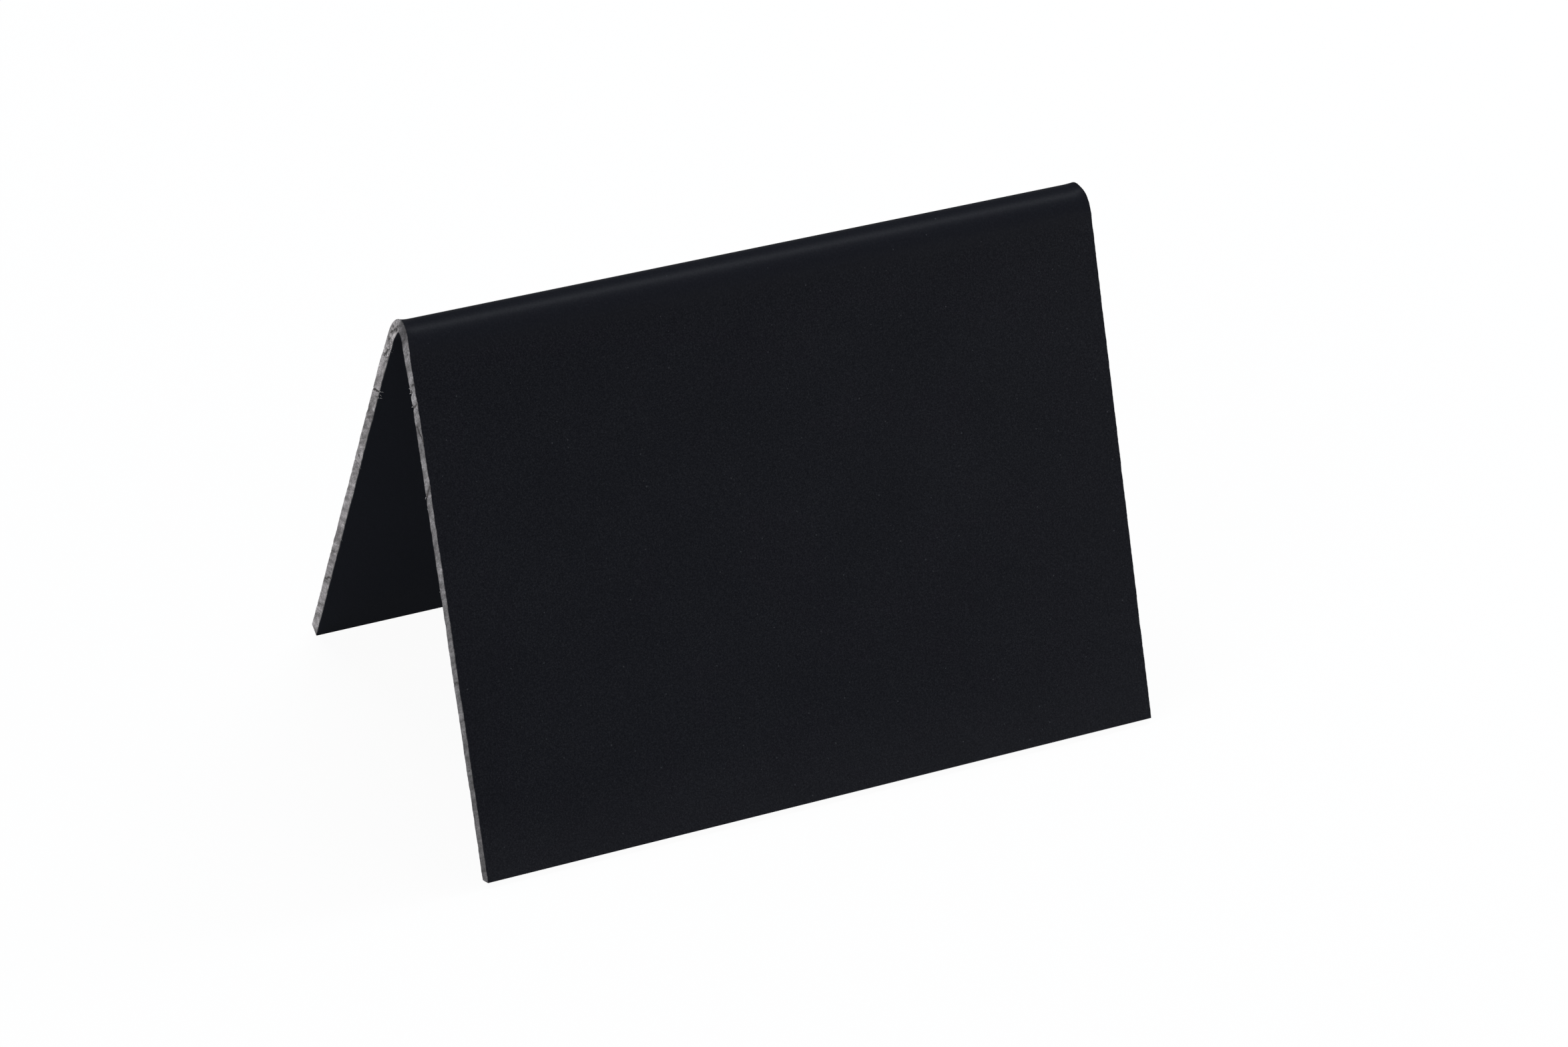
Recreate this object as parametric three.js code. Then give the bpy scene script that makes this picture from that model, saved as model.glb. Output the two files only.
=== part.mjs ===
// Table number sign: one rectangular laminated sheet, folded across its middle to stand as a tent.
// Millimetres, +Z up. X runs along the fold and the front face looks towards -Y.
// The origin is on the table, under the middle of the fold.
// The sheet has three bonded layers: a grey core and a thin near-black skin on each face.
// Its ends are sawn square, so the grey core shows there, and it stands on its two inner arrises.

import * as THREE from "three";

// Driving sizes of the flat sheet.
const SIGN_WIDTH = 100; // along the fold
const BLANK_LENGTH = 150; // from foot to foot, measured along the middle of the thickness
const SHEET_THICKNESS = 2; // the core and both skins together
const OUTER_SKIN_THICKNESS = 0.1; // on the front, over the fold and down the back
const INNER_SKIN_THICKNESS = 0.1; // on the faces under the tent
const FOOT_WEAR = 0.4; // the inner skin is rubbed away this far up from each foot

// Driving sizes of the fold.
const LEG_LEAN_DEGREES = 23.4; // each leg, from the upright
const FOLD_INSIDE_RADIUS = 2.2;
const LEFT_END_RISE = 0.5; // the crown of the fold curls up at each sawn end
const RIGHT_END_RISE = 0.2;
const LEFT_RISE_REACH = 2.5; // how far in from its end each curl begins
const RIGHT_RISE_REACH = 6;

// How finely the curved surfaces are faceted.
const FOLD_FACETS = 24;
const RISE_FACETS = 5;

// What follows from the sizes.
const legLean = THREE.MathUtils.degToRad(LEG_LEAN_DEGREES);
const foldHalfAngle = Math.PI / 2 - legLean; // from the crown to where each leg becomes flat
const middleRadius = FOLD_INSIDE_RADIUS + SHEET_THICKNESS / 2;
const flatLegLength = BLANK_LENGTH / 2 - foldHalfAngle * middleRadius;
const coreInside = INNER_SKIN_THICKNESS;
const coreOutside = SHEET_THICKNESS - OUTER_SKIN_THICKNESS;
const foldAxisHeight = Math.max(footDepth(coreInside, 0), footDepth(0, FOOT_WEAR));

const skinBlack = new THREE.MeshStandardMaterial({ color: "#18191d", roughness: 0.55, metalness: 0 });
const coreGrey = new THREE.MeshStandardMaterial({ color: "#85817f", roughness: 0.85, metalness: 0 });
const insideBlack = new THREE.MeshStandardMaterial({ color: "#141519", roughness: 0.6, metalness: 0 });

// How far below the axis of the fold a layer's foot reaches, at a depth in the sheet counted
// outwards from the inner face, when that layer stops short of the sheet's cut edge.
function footDepth(depthInSheet, stopShort) {
  const radius = FOLD_INSIDE_RADIUS + depthInSheet;
  return (flatLegLength - stopShort) * Math.cos(legLean) - radius * Math.sin(legLean);
}

// The line that a face of a layer draws on an end of the sheet, as (Y, Z) points from the front
// foot, over the fold, to the rear foot. Each leg has a point at each distance up from its foot.
function lineOverFold(depthInSheet, upFromFoot) {
  const radius = FOLD_INSIDE_RADIUS + depthInSheet;
  const overFold = Array.from({ length: FOLD_FACETS + 1 }, (_, i) => {
    const angle = foldHalfAngle * ((2 * i) / FOLD_FACETS - 1);
    return new THREE.Vector2(radius * Math.sin(angle), foldAxisHeight + radius * Math.cos(angle));
  });
  const downFrontLeg = new THREE.Vector2(-Math.sin(legLean), -Math.cos(legLean));
  const frontLeg = upFromFoot.map((up) =>
    overFold[0].clone().addScaledVector(downFrontLeg, flatLegLength - up),
  );
  const rearLeg = frontLeg.map((point) => new THREE.Vector2(-point.x, point.y)).reverse();
  return [...frontLeg, ...overFold, ...rearLeg];
}

// Places along the fold where the faceted surface has a row of points: close together in the
// curled stretch at each end, and one long flat stretch between them.
function placesAlongFold() {
  const left = -SIGN_WIDTH / 2;
  const right = SIGN_WIDTH / 2;
  const shares = Array.from({ length: RISE_FACETS + 1 }, (_, i) => i / RISE_FACETS);
  const leftPlaces = shares.map((share) => left + LEFT_RISE_REACH * share);
  const rightPlaces = shares.map((share) => right - RIGHT_RISE_REACH * (1 - share));
  return [...leftPlaces, ...rightPlaces];
}

// How far the fold has curled up at a place along it and an angle from its crown.
function riseAt(place, angleFromCrown) {
  const shareOfFold = Math.min(Math.abs(angleFromCrown) / foldHalfAngle, 1);
  const acrossFold = Math.cos((shareOfFold * Math.PI) / 2) ** 2;
  const fromLeft = place + SIGN_WIDTH / 2;
  const fromRight = SIGN_WIDTH / 2 - place;
  const leftCurl = LEFT_END_RISE * Math.max(0, 1 - fromLeft / LEFT_RISE_REACH) ** 2;
  const rightCurl = RIGHT_END_RISE * Math.max(0, 1 - fromRight / RIGHT_RISE_REACH) ** 2;
  return (leftCurl + rightCurl) * acrossFold;
}

// The points of one face of a layer: a row over the fold for each place along it. Bonded faces
// have the same depth and so the same points, and their layers touch without a gap.
function facePoints(depthInSheet, upFromFoot) {
  const line = lineOverFold(depthInSheet, upFromFoot);
  return placesAlongFold().flatMap((place) =>
    line.map(({ x: y, y: z }) => {
      const angleFromCrown = Math.atan2(y, z - foldAxisHeight);
      return new THREE.Vector3(place, y, z + riseAt(place, angleFromCrown));
    }),
  );
}

// One layer of the folded sheet, between two depths counted outwards from the inner face.
function layer(name, innerDepth, outerDepth, upFromFoot, material) {
  const outerFace = facePoints(outerDepth, upFromFoot);
  const innerFace = facePoints(innerDepth, upFromFoot);
  const lastRow = placesAlongFold().length - 1;
  const rowLength = outerFace.length / (lastRow + 1);
  const outer = (row, column) => row * rowLength + column;
  const inner = (row, column) => outerFace.length + outer(row, column);
  const corners = [];
  const addQuad = (a, b, c, d) => corners.push(a, b, c, a, c, d);
  for (let row = 0; row < lastRow; row++) {
    const next = row + 1;
    for (let i = 0; i < rowLength - 1; i++) {
      addQuad(outer(row, i), outer(next, i), outer(next, i + 1), outer(row, i + 1));
      addQuad(inner(row, i), inner(row, i + 1), inner(next, i + 1), inner(next, i));
    }
    const rear = rowLength - 1;
    addQuad(outer(row, 0), inner(row, 0), inner(next, 0), outer(next, 0));
    addQuad(outer(row, rear), outer(next, rear), inner(next, rear), inner(row, rear));
  }
  for (let i = 0; i < rowLength - 1; i++) {
    addQuad(outer(0, i), outer(0, i + 1), inner(0, i + 1), inner(0, i));
    addQuad(outer(lastRow, i), inner(lastRow, i), inner(lastRow, i + 1), outer(lastRow, i + 1));
  }
  const geometry = new THREE.BufferGeometry().setFromPoints([...outerFace, ...innerFace]);
  geometry.setIndex(corners);
  geometry.computeVertexNormals();
  const mesh = new THREE.Mesh(geometry, material);
  mesh.name = name;
  return mesh;
}

// The inner skin stops where it is worn away, and the other layers run down to the cut edge.
const toWornEdge = [FOOT_WEAR];
const toCutEdge = [0, FOOT_WEAR];

const sign = new THREE.Group();
sign.add(layer("inner_skin", 0, coreInside, toWornEdge, insideBlack));
sign.add(layer("core_sheet", coreInside, coreOutside, toCutEdge, coreGrey));
sign.add(layer("outer_skin", coreOutside, SHEET_THICKNESS, toCutEdge, skinBlack));

export default sign;
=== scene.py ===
# %% [markdown]
# # A small folded table sign
# This lesson rebuilds a blank table sign in Blender. The real one is a single laminated plastic sheet,
# a grey core between two near-black skins, warmed along its middle and folded into a tent. Nothing on
# it is printed. What makes it look real is small: the marks of the saw, arrises that wander, a fold
# with curled ends, and a fine matt grain.

# %% Load the measured frame
import math

import bmesh
import bpy
import numpy as np
from mathutils import Matrix, Vector


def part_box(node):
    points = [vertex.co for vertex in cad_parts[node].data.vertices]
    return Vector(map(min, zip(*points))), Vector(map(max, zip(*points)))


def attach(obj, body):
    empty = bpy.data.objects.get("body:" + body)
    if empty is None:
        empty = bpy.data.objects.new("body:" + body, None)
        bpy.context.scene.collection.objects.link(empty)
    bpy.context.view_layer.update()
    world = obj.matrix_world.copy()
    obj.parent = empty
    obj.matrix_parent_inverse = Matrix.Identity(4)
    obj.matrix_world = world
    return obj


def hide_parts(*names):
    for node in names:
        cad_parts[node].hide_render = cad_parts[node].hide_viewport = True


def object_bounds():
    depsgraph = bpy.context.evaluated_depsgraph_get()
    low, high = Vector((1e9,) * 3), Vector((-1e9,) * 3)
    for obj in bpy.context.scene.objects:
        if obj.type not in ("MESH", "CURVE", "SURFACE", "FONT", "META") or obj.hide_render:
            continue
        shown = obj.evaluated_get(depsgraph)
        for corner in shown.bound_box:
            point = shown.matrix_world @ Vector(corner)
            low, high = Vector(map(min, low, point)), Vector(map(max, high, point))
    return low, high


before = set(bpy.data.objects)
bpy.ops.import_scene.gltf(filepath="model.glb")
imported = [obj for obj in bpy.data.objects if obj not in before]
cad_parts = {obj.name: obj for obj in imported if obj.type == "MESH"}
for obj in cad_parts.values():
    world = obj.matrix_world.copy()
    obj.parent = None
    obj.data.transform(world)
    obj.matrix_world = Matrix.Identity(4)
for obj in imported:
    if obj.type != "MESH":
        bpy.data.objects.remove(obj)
cad_low, cad_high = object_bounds()
print("solids loaded:", sorted(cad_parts))
print("size in mm:", [round(1000 * side, 2) for side in cad_high - cad_low])

# %% [markdown]
# ## The sizes of the sheet
# The sign is easiest to describe flat, before it was folded: how far along from the middle line, how
# far across from the centre, and how deep in the thickness. The width and the height of the feet come
# from the loaded solids, and the rest are the sizes that the sheet was cut and folded to. Blender works
# in metres, so a millimetre gets a name.

# %% Name the sizes
MM = 0.001
skin_low, skin_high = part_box("outer_skin")
sign_width = skin_high.x - skin_low.x
half_width = sign_width / 2
core_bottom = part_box("core_sheet")[0].z

blank_length = 150 * MM
sheet_thickness = 2 * MM
skin_thickness = 0.1 * MM
foot_gap = 0.05 * MM
leg_lean = math.radians(23.4)
inside_radius = 2.2 * MM

fold_half_angle = math.pi / 2 - leg_lean
middle_radius = inside_radius + sheet_thickness / 2
half_length = blank_length / 2
flat_leg = half_length - fold_half_angle * middle_radius
inner_core_foot = flat_leg * math.cos(leg_lean) - (inside_radius + skin_thickness) * math.sin(leg_lean)
fold_axis_height = core_bottom + inner_core_foot
print("flat part of each leg in mm:", round(flat_leg / MM, 2))
print("axis of the fold above the table in mm:", round(fold_axis_height / MM, 3))

# %% [markdown]
# ## Folding the flat sheet
# A point of the flat sheet goes round the fold if it is near the middle, and down a leg if it is
# further out. A bend modifier could fold a flat mesh, but the pits and whiskers further on have to be
# placed too. With one function they all are, in the same way, and the layers touch face to face just as
# the bonded sheet does.


# %% Fold a place on the flat sheet
def folded(along, depth):
    """Y and Z of the places on the flat sheet; along is negative on the front leg."""
    angle = np.clip(along / middle_radius, -fold_half_angle, fold_half_angle)
    down_the_leg = np.maximum(np.abs(along) - fold_half_angle * middle_radius, 0)
    radius = inside_radius + depth
    y = radius * np.sin(angle) + np.sign(along) * down_the_leg * math.sin(leg_lean)
    z = fold_axis_height + radius * np.cos(angle) - down_the_leg * math.cos(leg_lean)
    return y, z


crown = folded(np.array(0.0), np.array(sheet_thickness))
print("crown of the fold in mm:", round(float(crown[1]) / MM, 2))

# %% [markdown]
# ## The curl at the ends of the fold
# When a thick sheet is bent, its outside stretches and its inside is squeezed. The crown swells a
# little all along, and lifts more at the two ends, where nothing holds it back. The left end is pinched
# as well: it is thinner at the crown, the legs are drawn together just below it, the outer arris is
# drawn in and the front leg bulges out. The right end is drawn in only at the crown. All this could be
# sculpted by hand, but as curves each part has a height and a width that can be measured and changed.

# %% Name the sizes of the curl
crown_swell = 0.055 * MM
crown_spread = 2.2 * MM
left_lift = 0.41 * MM
left_reach = 2.1 * MM
right_lift = 0.35 * MM
right_place = -0.5 * MM
right_spread = 1.8 * MM
right_reach = 1.5 * MM

inside_lift = 0.87 * MM
inside_spread = 1.25 * MM
pinch = 0.17 * MM
pinch_reach = 5 * MM
outer_pinch_place = 6.5 * MM
outer_pinch_spread = 2.8 * MM
inner_pinch_place = 3 * MM
inner_pinch_spread = 5 * MM

draw_in = 0.52 * MM
draw_in_place = 0.7 * MM
draw_in_spread = 2.8 * MM
draw_in_fade = 2.7 * MM
bulge = 0.13 * MM
bulge_place = -3.5 * MM
bulge_spread = 2.6 * MM
right_draw_in = 0.2 * MM
right_draw_in_spread = 1 * MM
print("swell of the crown in mm:", round(crown_swell / MM, 3))

# %% [markdown]
# Each of these is a bell-shaped bump, and all but the swell fade with the distance from the end. The
# swell, the lifts and the pinch move a place along the sheet's normal, and the drawing in moves it
# along the fold.


# %% Curl the ends of the fold
def bell(distance, spread):
    return np.exp(-((distance / spread) ** 2))


def fade_from_end(distance, reach):
    return np.maximum(0, 1 - distance / reach) ** 2


def curl_out(along, depth, from_left, from_right):
    """How far the curled ends stand out from the plain fold, along the sheet's normal."""
    outer_share = depth / sheet_thickness
    left_crown = outer_share * left_lift * bell(along, crown_spread)
    left_crown += (1 - outer_share) * inside_lift * bell(along, inside_spread)
    below_crown = 1 - bell(along, crown_spread)
    outer_pinch = outer_share * bell(np.abs(along) - outer_pinch_place, outer_pinch_spread)
    inner_pinch = (1 - outer_share) * bell(np.abs(along) - inner_pinch_place, inner_pinch_spread)
    pinched = pinch * below_crown * (outer_pinch + inner_pinch)
    right_crown = right_lift * bell(along - right_place, right_spread)
    curl = crown_swell * bell(along, crown_spread)
    curl = curl + left_crown * fade_from_end(from_left, left_reach)
    curl -= pinched * fade_from_end(from_left, pinch_reach)
    return curl + right_crown * fade_from_end(from_right, right_reach)


def left_draw_in(along, depth, from_left):
    """How far the left end lies in from its plane."""
    near_fold = draw_in * (depth / sheet_thickness) * bell(along - draw_in_place, draw_in_spread)
    near_fold -= bulge * bell(along - bulge_place, bulge_spread)
    return near_fold * np.exp(-from_left / draw_in_fade)


left_crown_rise = curl_out(np.array(0.0), sheet_thickness, 0.0, sign_width)
print("left crown stands out by mm:", round(float(left_crown_rise) / MM, 2))

# %% [markdown]
# ## Ripples that never repeat
# Saw cuts wander and surfaces undulate. Random steps from point to point would look rough, and one wave
# would look drawn. A sum of sine waves of many lengths, the longer ones a little higher and each with a
# random start, gives a smooth line that wanders. The random numbers come from a fixed seed, so every
# run of the lesson makes the same sign.

# %% Make seeded ripples
wave_growth = 0.35


def ripples(places, shortest, longest, seed, waves=14):
    """A smooth random line with a spread of about one."""
    chance = np.random.default_rng(seed)
    lengths = np.geomspace(shortest, longest, waves)
    starts = chance.uniform(0, 2 * math.pi, waves)
    heights = (lengths / longest) ** wave_growth
    total = sum(h * np.sin(2 * math.pi * places / w + s) for h, w, s in zip(heights, lengths, starts))
    return total / math.sqrt(float(np.sum(heights**2)) / 2)


sample_line = ripples(np.linspace(-half_length, half_length, 400), 0.8 * MM, 9 * MM, seed=3)
print("ripple spread:", round(float(sample_line.std()), 2))

# %% [markdown]
# ## Marks of the saw
# The ends were cut with a circular blade after folding. Its teeth left arcs that run down towards the
# back on both legs, which is why the streaks slope differently on each. An arc is all the places at
# one radius from the centre of the blade, so the marks follow that distance.

# %% Place the saw blade
blade_centre_y = 60 * MM
blade_centre_z = 112 * MM


def blade_radius(along, depth):
    y, z = folded(along, depth)
    return np.hypot(y - blade_centre_y, z - blade_centre_z)


print("blade radius at the crown in mm:", round(float(blade_radius(0.0, 0.0)) / MM, 1))

# %% [markdown]
# ## Cracks, pits and nicks
# Where the blade grabbed, it tore the core. A bump in the finish could suggest such scars, but a hollow
# in the mesh catches the light at its rim and stays in the mesh of the part. These scars stand out
# on the real end, so they are listed one by one on the flat sheet. A crack is a line: where it starts and
# where it ends, each along and deep, then how wide it is and how far in it goes, all in millimetres.

# %% List the cracks of the left end
cracks = [
    (1.2, 0.55, 1.8, 0.75, 0.1, 0.07),
    (2.2, 0.95, 2.7, 1.05, 0.12, 0.09),
    (3.2, 1.2, 3.8, 1.45, 0.13, 0.1),
    (4.8, 1.2, 5.3, 1.4, 0.13, 0.09),
    (5.9, 0.45, 7.2, 0.95, 0.12, 0.07),
    (7.0, 0.95, 8.6, 1.35, 0.17, 0.09),
    (7.7, 0.2, 8.5, 0.8, 0.15, 0.06),
    (8.4, 1.2, 8.7, 1.7, 0.14, 0.07),
    (15.5, 0.05, 16.5, 1.1, 0.13, 0.12),
    (16.4, 1.0, 17.2, 1.9, 0.15, 0.12),
    (16.8, 0.0, 17.5, 0.9, 0.1, 0.08),
    (20.6, 0.2, 22.0, 1.9, 0.3, 0.035),
    (22.2, 0.9, 23.2, 1.5, 0.22, 0.05),
    (25.0, 1.0, 25.8, 1.6, 0.2, 0.04),
    (32.8, 0.1, 33.9, 1.9, 0.16, 0.05),
    (35.2, 0.3, 36.9, 1.8, 0.26, 0.03),
    (40.4, 0.9, 41.2, 1.4, 0.22, 0.035),
    (48.0, 0.1, 50.0, 1.9, 0.3, 0.03),
    (53.0, 1.5, 54.4, 2.0, 0.22, 0.04),
    (55.2, 1.2, 56.2, 1.9, 0.22, 0.07),
    (53.6, 0.1, 55.4, 1.2, 0.2, 0.04),
    (60.3, 0.1, 61.4, 0.9, 0.14, 0.1),
    (61.2, 0.8, 62.6, 1.6, 0.17, 0.08),
    (67.6, 0.4, 69.6, 1.9, 0.22, 0.05),
    (71.0, 0.8, 73.0, 1.8, 0.3, 0.03),
    (-14.9, 2.0, -13.2, 0.5, 0.15, 0.13),
    (-10.8, 0.0, -9.9, 1.8, 0.17, 0.08),
    (-22.9, 0.0, -21.0, 1.8, 0.18, 0.09),
    (-7.6, 0.9, -7.4, 1.8, 0.12, 0.1),
    (-48.0, 0.3, -47.4, 1.7, 0.15, 0.08),
    (-65.1, 0.3, -64.0, 0.7, 0.16, 0.06),
    (-2.0, 0.5, -1.2, 1.8, 0.3, 0.03),
]
print(len(cracks), "cracks placed by hand")

# %% [markdown]
# A pit is a round hollow: where its centre is, along and deep, then its radius and how far in it
# goes. The first three are broad and shallow, and their painted shade reads as darker patches of the leg.

# %% List the pits of the left end
pits = [
    (-39.5, 1.0, 2.6, 0.04),
    (40.0, 1.0, 2.4, 0.03),
    (50.6, 0.8, 3.2, 0.036),
    (21.8, 0.2, 0.8, 0.04),
    (29.0, 0.3, 0.9, 0.03),
    (36.0, 0.3, 1.2, 0.03),
    (1.7, 0.8, 0.22, 0.14),
    (1.3, 1.1, 0.16, 0.1),
    (2.6, 1.5, 0.15, 0.09),
    (4.4, 0.7, 0.15, 0.08),
    (5.1, 1.7, 0.16, 0.08),
    (6.4, 1.5, 0.15, 0.08),
    (7.4, 0.5, 0.16, 0.09),
    (8.2, 1.0, 0.18, 0.1),
    (3.4, 1.3, 0.18, 0.1),
    (7.9, 1.2, 0.22, 0.1),
    (31.8, 1.15, 0.26, 0.1),
    (55.8, 1.45, 0.26, 0.07),
    (-8.5, 0.45, 0.24, 0.15),
    (-8.9, 0.1, 0.2, 0.12),
    (-16.2, 0.9, 0.18, 0.1),
    (-22.7, 0.1, 0.16, 0.08),
    (-35.4, 0.1, 0.16, 0.08),
    (-73.4, 1.5, 0.22, 0.07),
    (-59.7, 1.2, 0.18, 0.06),
]
print(len(pits), "pits placed by hand")

# %% [markdown]
# A crack pushes the surface in along a narrow line that wobbles and fades out past both its ends.
# Taking the deepest scar at each place, and not their sum, keeps crossing scars from digging a hole.

# %% Measure how deep the scars are
wobble_share = 0.35
wobble_waves = (0.4 * MM, 2 * MM)
seeds_per_mm = 10


def crack_depth(along, depth, crack):
    start_along, start_depth, end_along, end_depth, width, deep = (MM * size for size in crack)
    run = np.array([end_along - start_along, end_depth - start_depth])
    length = np.hypot(*run)
    run = run / length
    ahead = (along - start_along) * run[0] + (depth - start_depth) * run[1]
    aside = (along - start_along) * run[1] - (depth - start_depth) * run[0]
    seed = abs(int(crack[0] * seeds_per_mm))
    wobble = wobble_share * width * ripples(ahead, *wobble_waves, seed)
    past_the_end = np.maximum(np.maximum(-ahead, ahead - length), 0)
    return deep * np.exp(-(((aside + wobble) / width) ** 2) - (past_the_end / (2 * width)) ** 2)


def pit_depth(along, depth, pit):
    centre_along, centre_depth, radius, deep = (MM * size for size in pit)
    distance = np.hypot(along - centre_along, depth - centre_depth)
    return deep * np.exp(-((distance / radius) ** 2))


def scar_depth(along, depth, listed_cracks, listed_pits):
    """How far the surface is torn in, in metres, at each place of an end."""
    deepest = np.zeros(np.broadcast(along, depth).shape)
    for crack in listed_cracks:
        deepest = np.maximum(deepest, crack_depth(along, depth, crack))
    for pit in listed_pits:
        deepest = np.maximum(deepest, pit_depth(along, depth, pit))
    return deepest


print("deepest scar in mm:", max(scar[-1] for scar in cracks + pits))

# %% [markdown]
# Smaller random pits fill in around the listed ones. The right end has only these.

# %% Scatter small pits
furthest_pit = 74
pit_depths = (0.3, 1.7)
pit_sizes = (0.08, 0.2)
hollow_share = 0.3


def small_pits(seed, count):
    chance = np.random.default_rng(seed)
    places = chance.uniform(-furthest_pit, furthest_pit, count)
    depths = chance.uniform(*pit_depths, count)
    sizes = chance.uniform(*pit_sizes, count)
    return [(a, d, r, hollow_share * r) for a, d, r in zip(places, depths, sizes)]


left_pits = pits + small_pits(seed=11, count=45)
right_pits = small_pits(seed=23, count=60)
print("pits on the left end in all:", len(left_pits))

# %% [markdown]
# ## The cut surface
# How far a sawn end lies in from its true plane is the sum of four things: a slow wander of the cut,
# the fine ripples of the teeth, the scars, and a small, uneven rounding of the two arrises, which
# catches the light in some places and not in others.

# %% Shape the cut surface
cut_wander = 0.012 * MM
wander_waves = (3 * MM, 30 * MM)
cut_slant = 0.6
tooth_ripple = 0.01 * MM
tooth_waves = (0.5 * MM, 3.5 * MM)
arris_radius = 0.028 * MM
arris_waves = (0.7 * MM, 12 * MM)
arris_change = 0.45
least_arris = 0.3 * arris_radius
most_arris = 2.2 * arris_radius


def arris_rounding(along, depth, seed):
    radius = arris_radius * (1 + arris_change * ripples(along, *arris_waves, seed))
    radius = np.clip(radius, least_arris, most_arris)
    to_arris = np.minimum(depth, sheet_thickness - depth)
    inside_rounding = np.clip(radius - to_arris, 0, radius)
    return radius - np.sqrt(radius**2 - inside_rounding**2)


def cut_inset(along, depth, seed, listed_cracks, listed_pits):
    wander = cut_wander * ripples(along + cut_slant * depth, *wander_waves, seed)
    teeth = tooth_ripple * ripples(blade_radius(along, depth), *tooth_waves, seed + 1)
    scars = scar_depth(along, depth, listed_cracks, listed_pits)
    return wander + teeth + scars + arris_rounding(along, depth, seed + 2)


left_seed = 40
right_seed = 60
test_places = np.linspace(-half_length, half_length, 300)
test_inset = cut_inset(test_places, np.full_like(test_places, MM), left_seed, cracks, left_pits)
least, most = test_inset.min() / MM, test_inset.max() / MM
print("left cut lies in by mm, least and most:", round(least, 3), round(most, 3))

# %% [markdown]
# ## One layer as a folded lattice
# A folded surface could be given a thickness by a modifier, but two layers made so would be hard to
# keep face to face. So each layer is a closed shell: the outside points of a lattice of places along,
# across and deep. The rows across are given by their distance from the ends in millimetres. They are
# close together near the ends, where the curl and the scars need them, and wide apart in the middle,
# where the sheet is flat.

# %% Choose where the lattice has its points
along_step = 0.17 * MM
skin_offsets = [0, 0.03, 0.07, 0.13, 0.22, 0.4, 0.7, 1.1, 1.6, 2.2, 3, 4, 5.2, 6.6, 8.5, 11, 15, 20, 27, 37]


def places_along(short_by):
    count = int(round((blank_length - 2 * short_by) / along_step))
    return np.linspace(-half_length + short_by, half_length - short_by, count)


def rows_across(offsets):
    left = [-half_width + MM * offset for offset in offsets]
    return np.array(left + [-place for place in reversed(left)])


print("places along:", len(places_along(0)), "rows across:", len(rows_across(skin_offsets)))

# %% [markdown]
# A lattice point is moved in from its end by the cut surface, and this fades out over a fraction of
# a millimetre, so that the rows behind an end follow its scars without crossing each other.

# %% Work out the lattice points of a layer
inset_fade = 0.35 * MM


def lattice_points(along, across, depth):
    from_left = across + half_width
    from_right = half_width - across
    left_cut = cut_inset(along, depth, left_seed, cracks, left_pits)
    right_cut = cut_inset(along, depth, right_seed, [], right_pits)
    right_cut = right_cut + right_draw_in * bell(along, right_draw_in_spread)
    x = across + left_cut * np.exp(-from_left / inset_fade) + left_draw_in(along, depth, from_left)
    x = x - right_cut * np.exp(-from_right / inset_fade)
    y, z = folded(along, depth + curl_out(along, depth, from_left, from_right))
    return x, y, z


def shell_faces(index):
    """The quads of the six sides of a lattice, all facing out."""
    sides = [
        (index[:, :, 0], False),
        (index[:, :, -1], True),
        (index[:, 0, :], False),
        (index[:, -1, :], True),
        (index[0, :, :], True),
        (index[-1, :, :], False),
    ]
    quads = []
    for side, flip in sides:
        quad = np.stack([side[:-1, :-1], side[1:, :-1], side[1:, 1:], side[:-1, 1:]], axis=-1)
        quad = quad.reshape(-1, 4)
        quads.append(quad[:, ::-1] if flip else quad)
    return np.concatenate(quads)


print("faces of the smallest lattice:", len(shell_faces(np.arange(8).reshape(2, 2, 2))))

# %% [markdown]
# Three values are stored with every point for the finishes to read: its place on the flat sheet,
# since the grain was there before the fold, the depth of any scar, and the distance from the nearest
# sawn end. Edges sharper than the crease angle stay crisp.

# %% Build a layer
crease_angle = math.radians(38)


def add_values(mesh, name, kind, values):
    attribute = mesh.attributes.new(name, kind, "POINT")
    field = "vector" if kind == "FLOAT_VECTOR" else "value"
    attribute.data.foreach_set(field, np.ascontiguousarray(values, dtype=np.float32).ravel())


def layer_mesh(name, inner_depth, outer_depth, depth_steps, short_by, offsets):
    depths = inner_depth + (outer_depth - inner_depth) * np.linspace(0, 1, depth_steps)
    lattice = np.meshgrid(places_along(short_by), depths, rows_across(offsets), indexing="ij")
    outside = np.ones(lattice[0].shape, bool)
    outside[1:-1, 1:-1, 1:-1] = False
    index = np.full(outside.shape, -1)
    index[outside] = np.arange(outside.sum())
    along, depth, across = (grid[outside] for grid in lattice)
    points = np.stack(lattice_points(along, across, depth), axis=-1)
    mesh = bpy.data.meshes.new(name)
    mesh.from_pydata(points, [], shell_faces(index).tolist())
    mesh.set_sharp_from_angle(angle=crease_angle)
    end_distance = half_width - np.abs(across)
    scars = scar_depth(along, depth, cracks, left_pits) * (across < 0)
    scars += scar_depth(along, depth, [], right_pits) * (across > 0)
    scars *= np.exp(-end_distance / inset_fade)
    add_values(mesh, "flat_place_mm", "FLOAT_VECTOR", np.stack([along, across, depth], axis=-1) / MM)
    add_values(mesh, "scar_mm", "FLOAT", scars / MM)
    add_values(mesh, "end_distance_mm", "FLOAT", end_distance / MM)
    return mesh


def add_piece(name, mesh):
    piece = bpy.data.objects.new(name, mesh)
    bpy.context.scene.collection.objects.link(piece)
    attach(piece, "root")
    print(name, "has", len(mesh.polygons), "faces")
    return piece


print("crease angle in degrees:", round(math.degrees(crease_angle)))

# %% [markdown]
# ## The three layers
# The core has many steps through its thickness, which the sawn end shows, and few rows across,
# because the skins hide its faces. The skins are thin, and need their rows for the curl.

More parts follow.
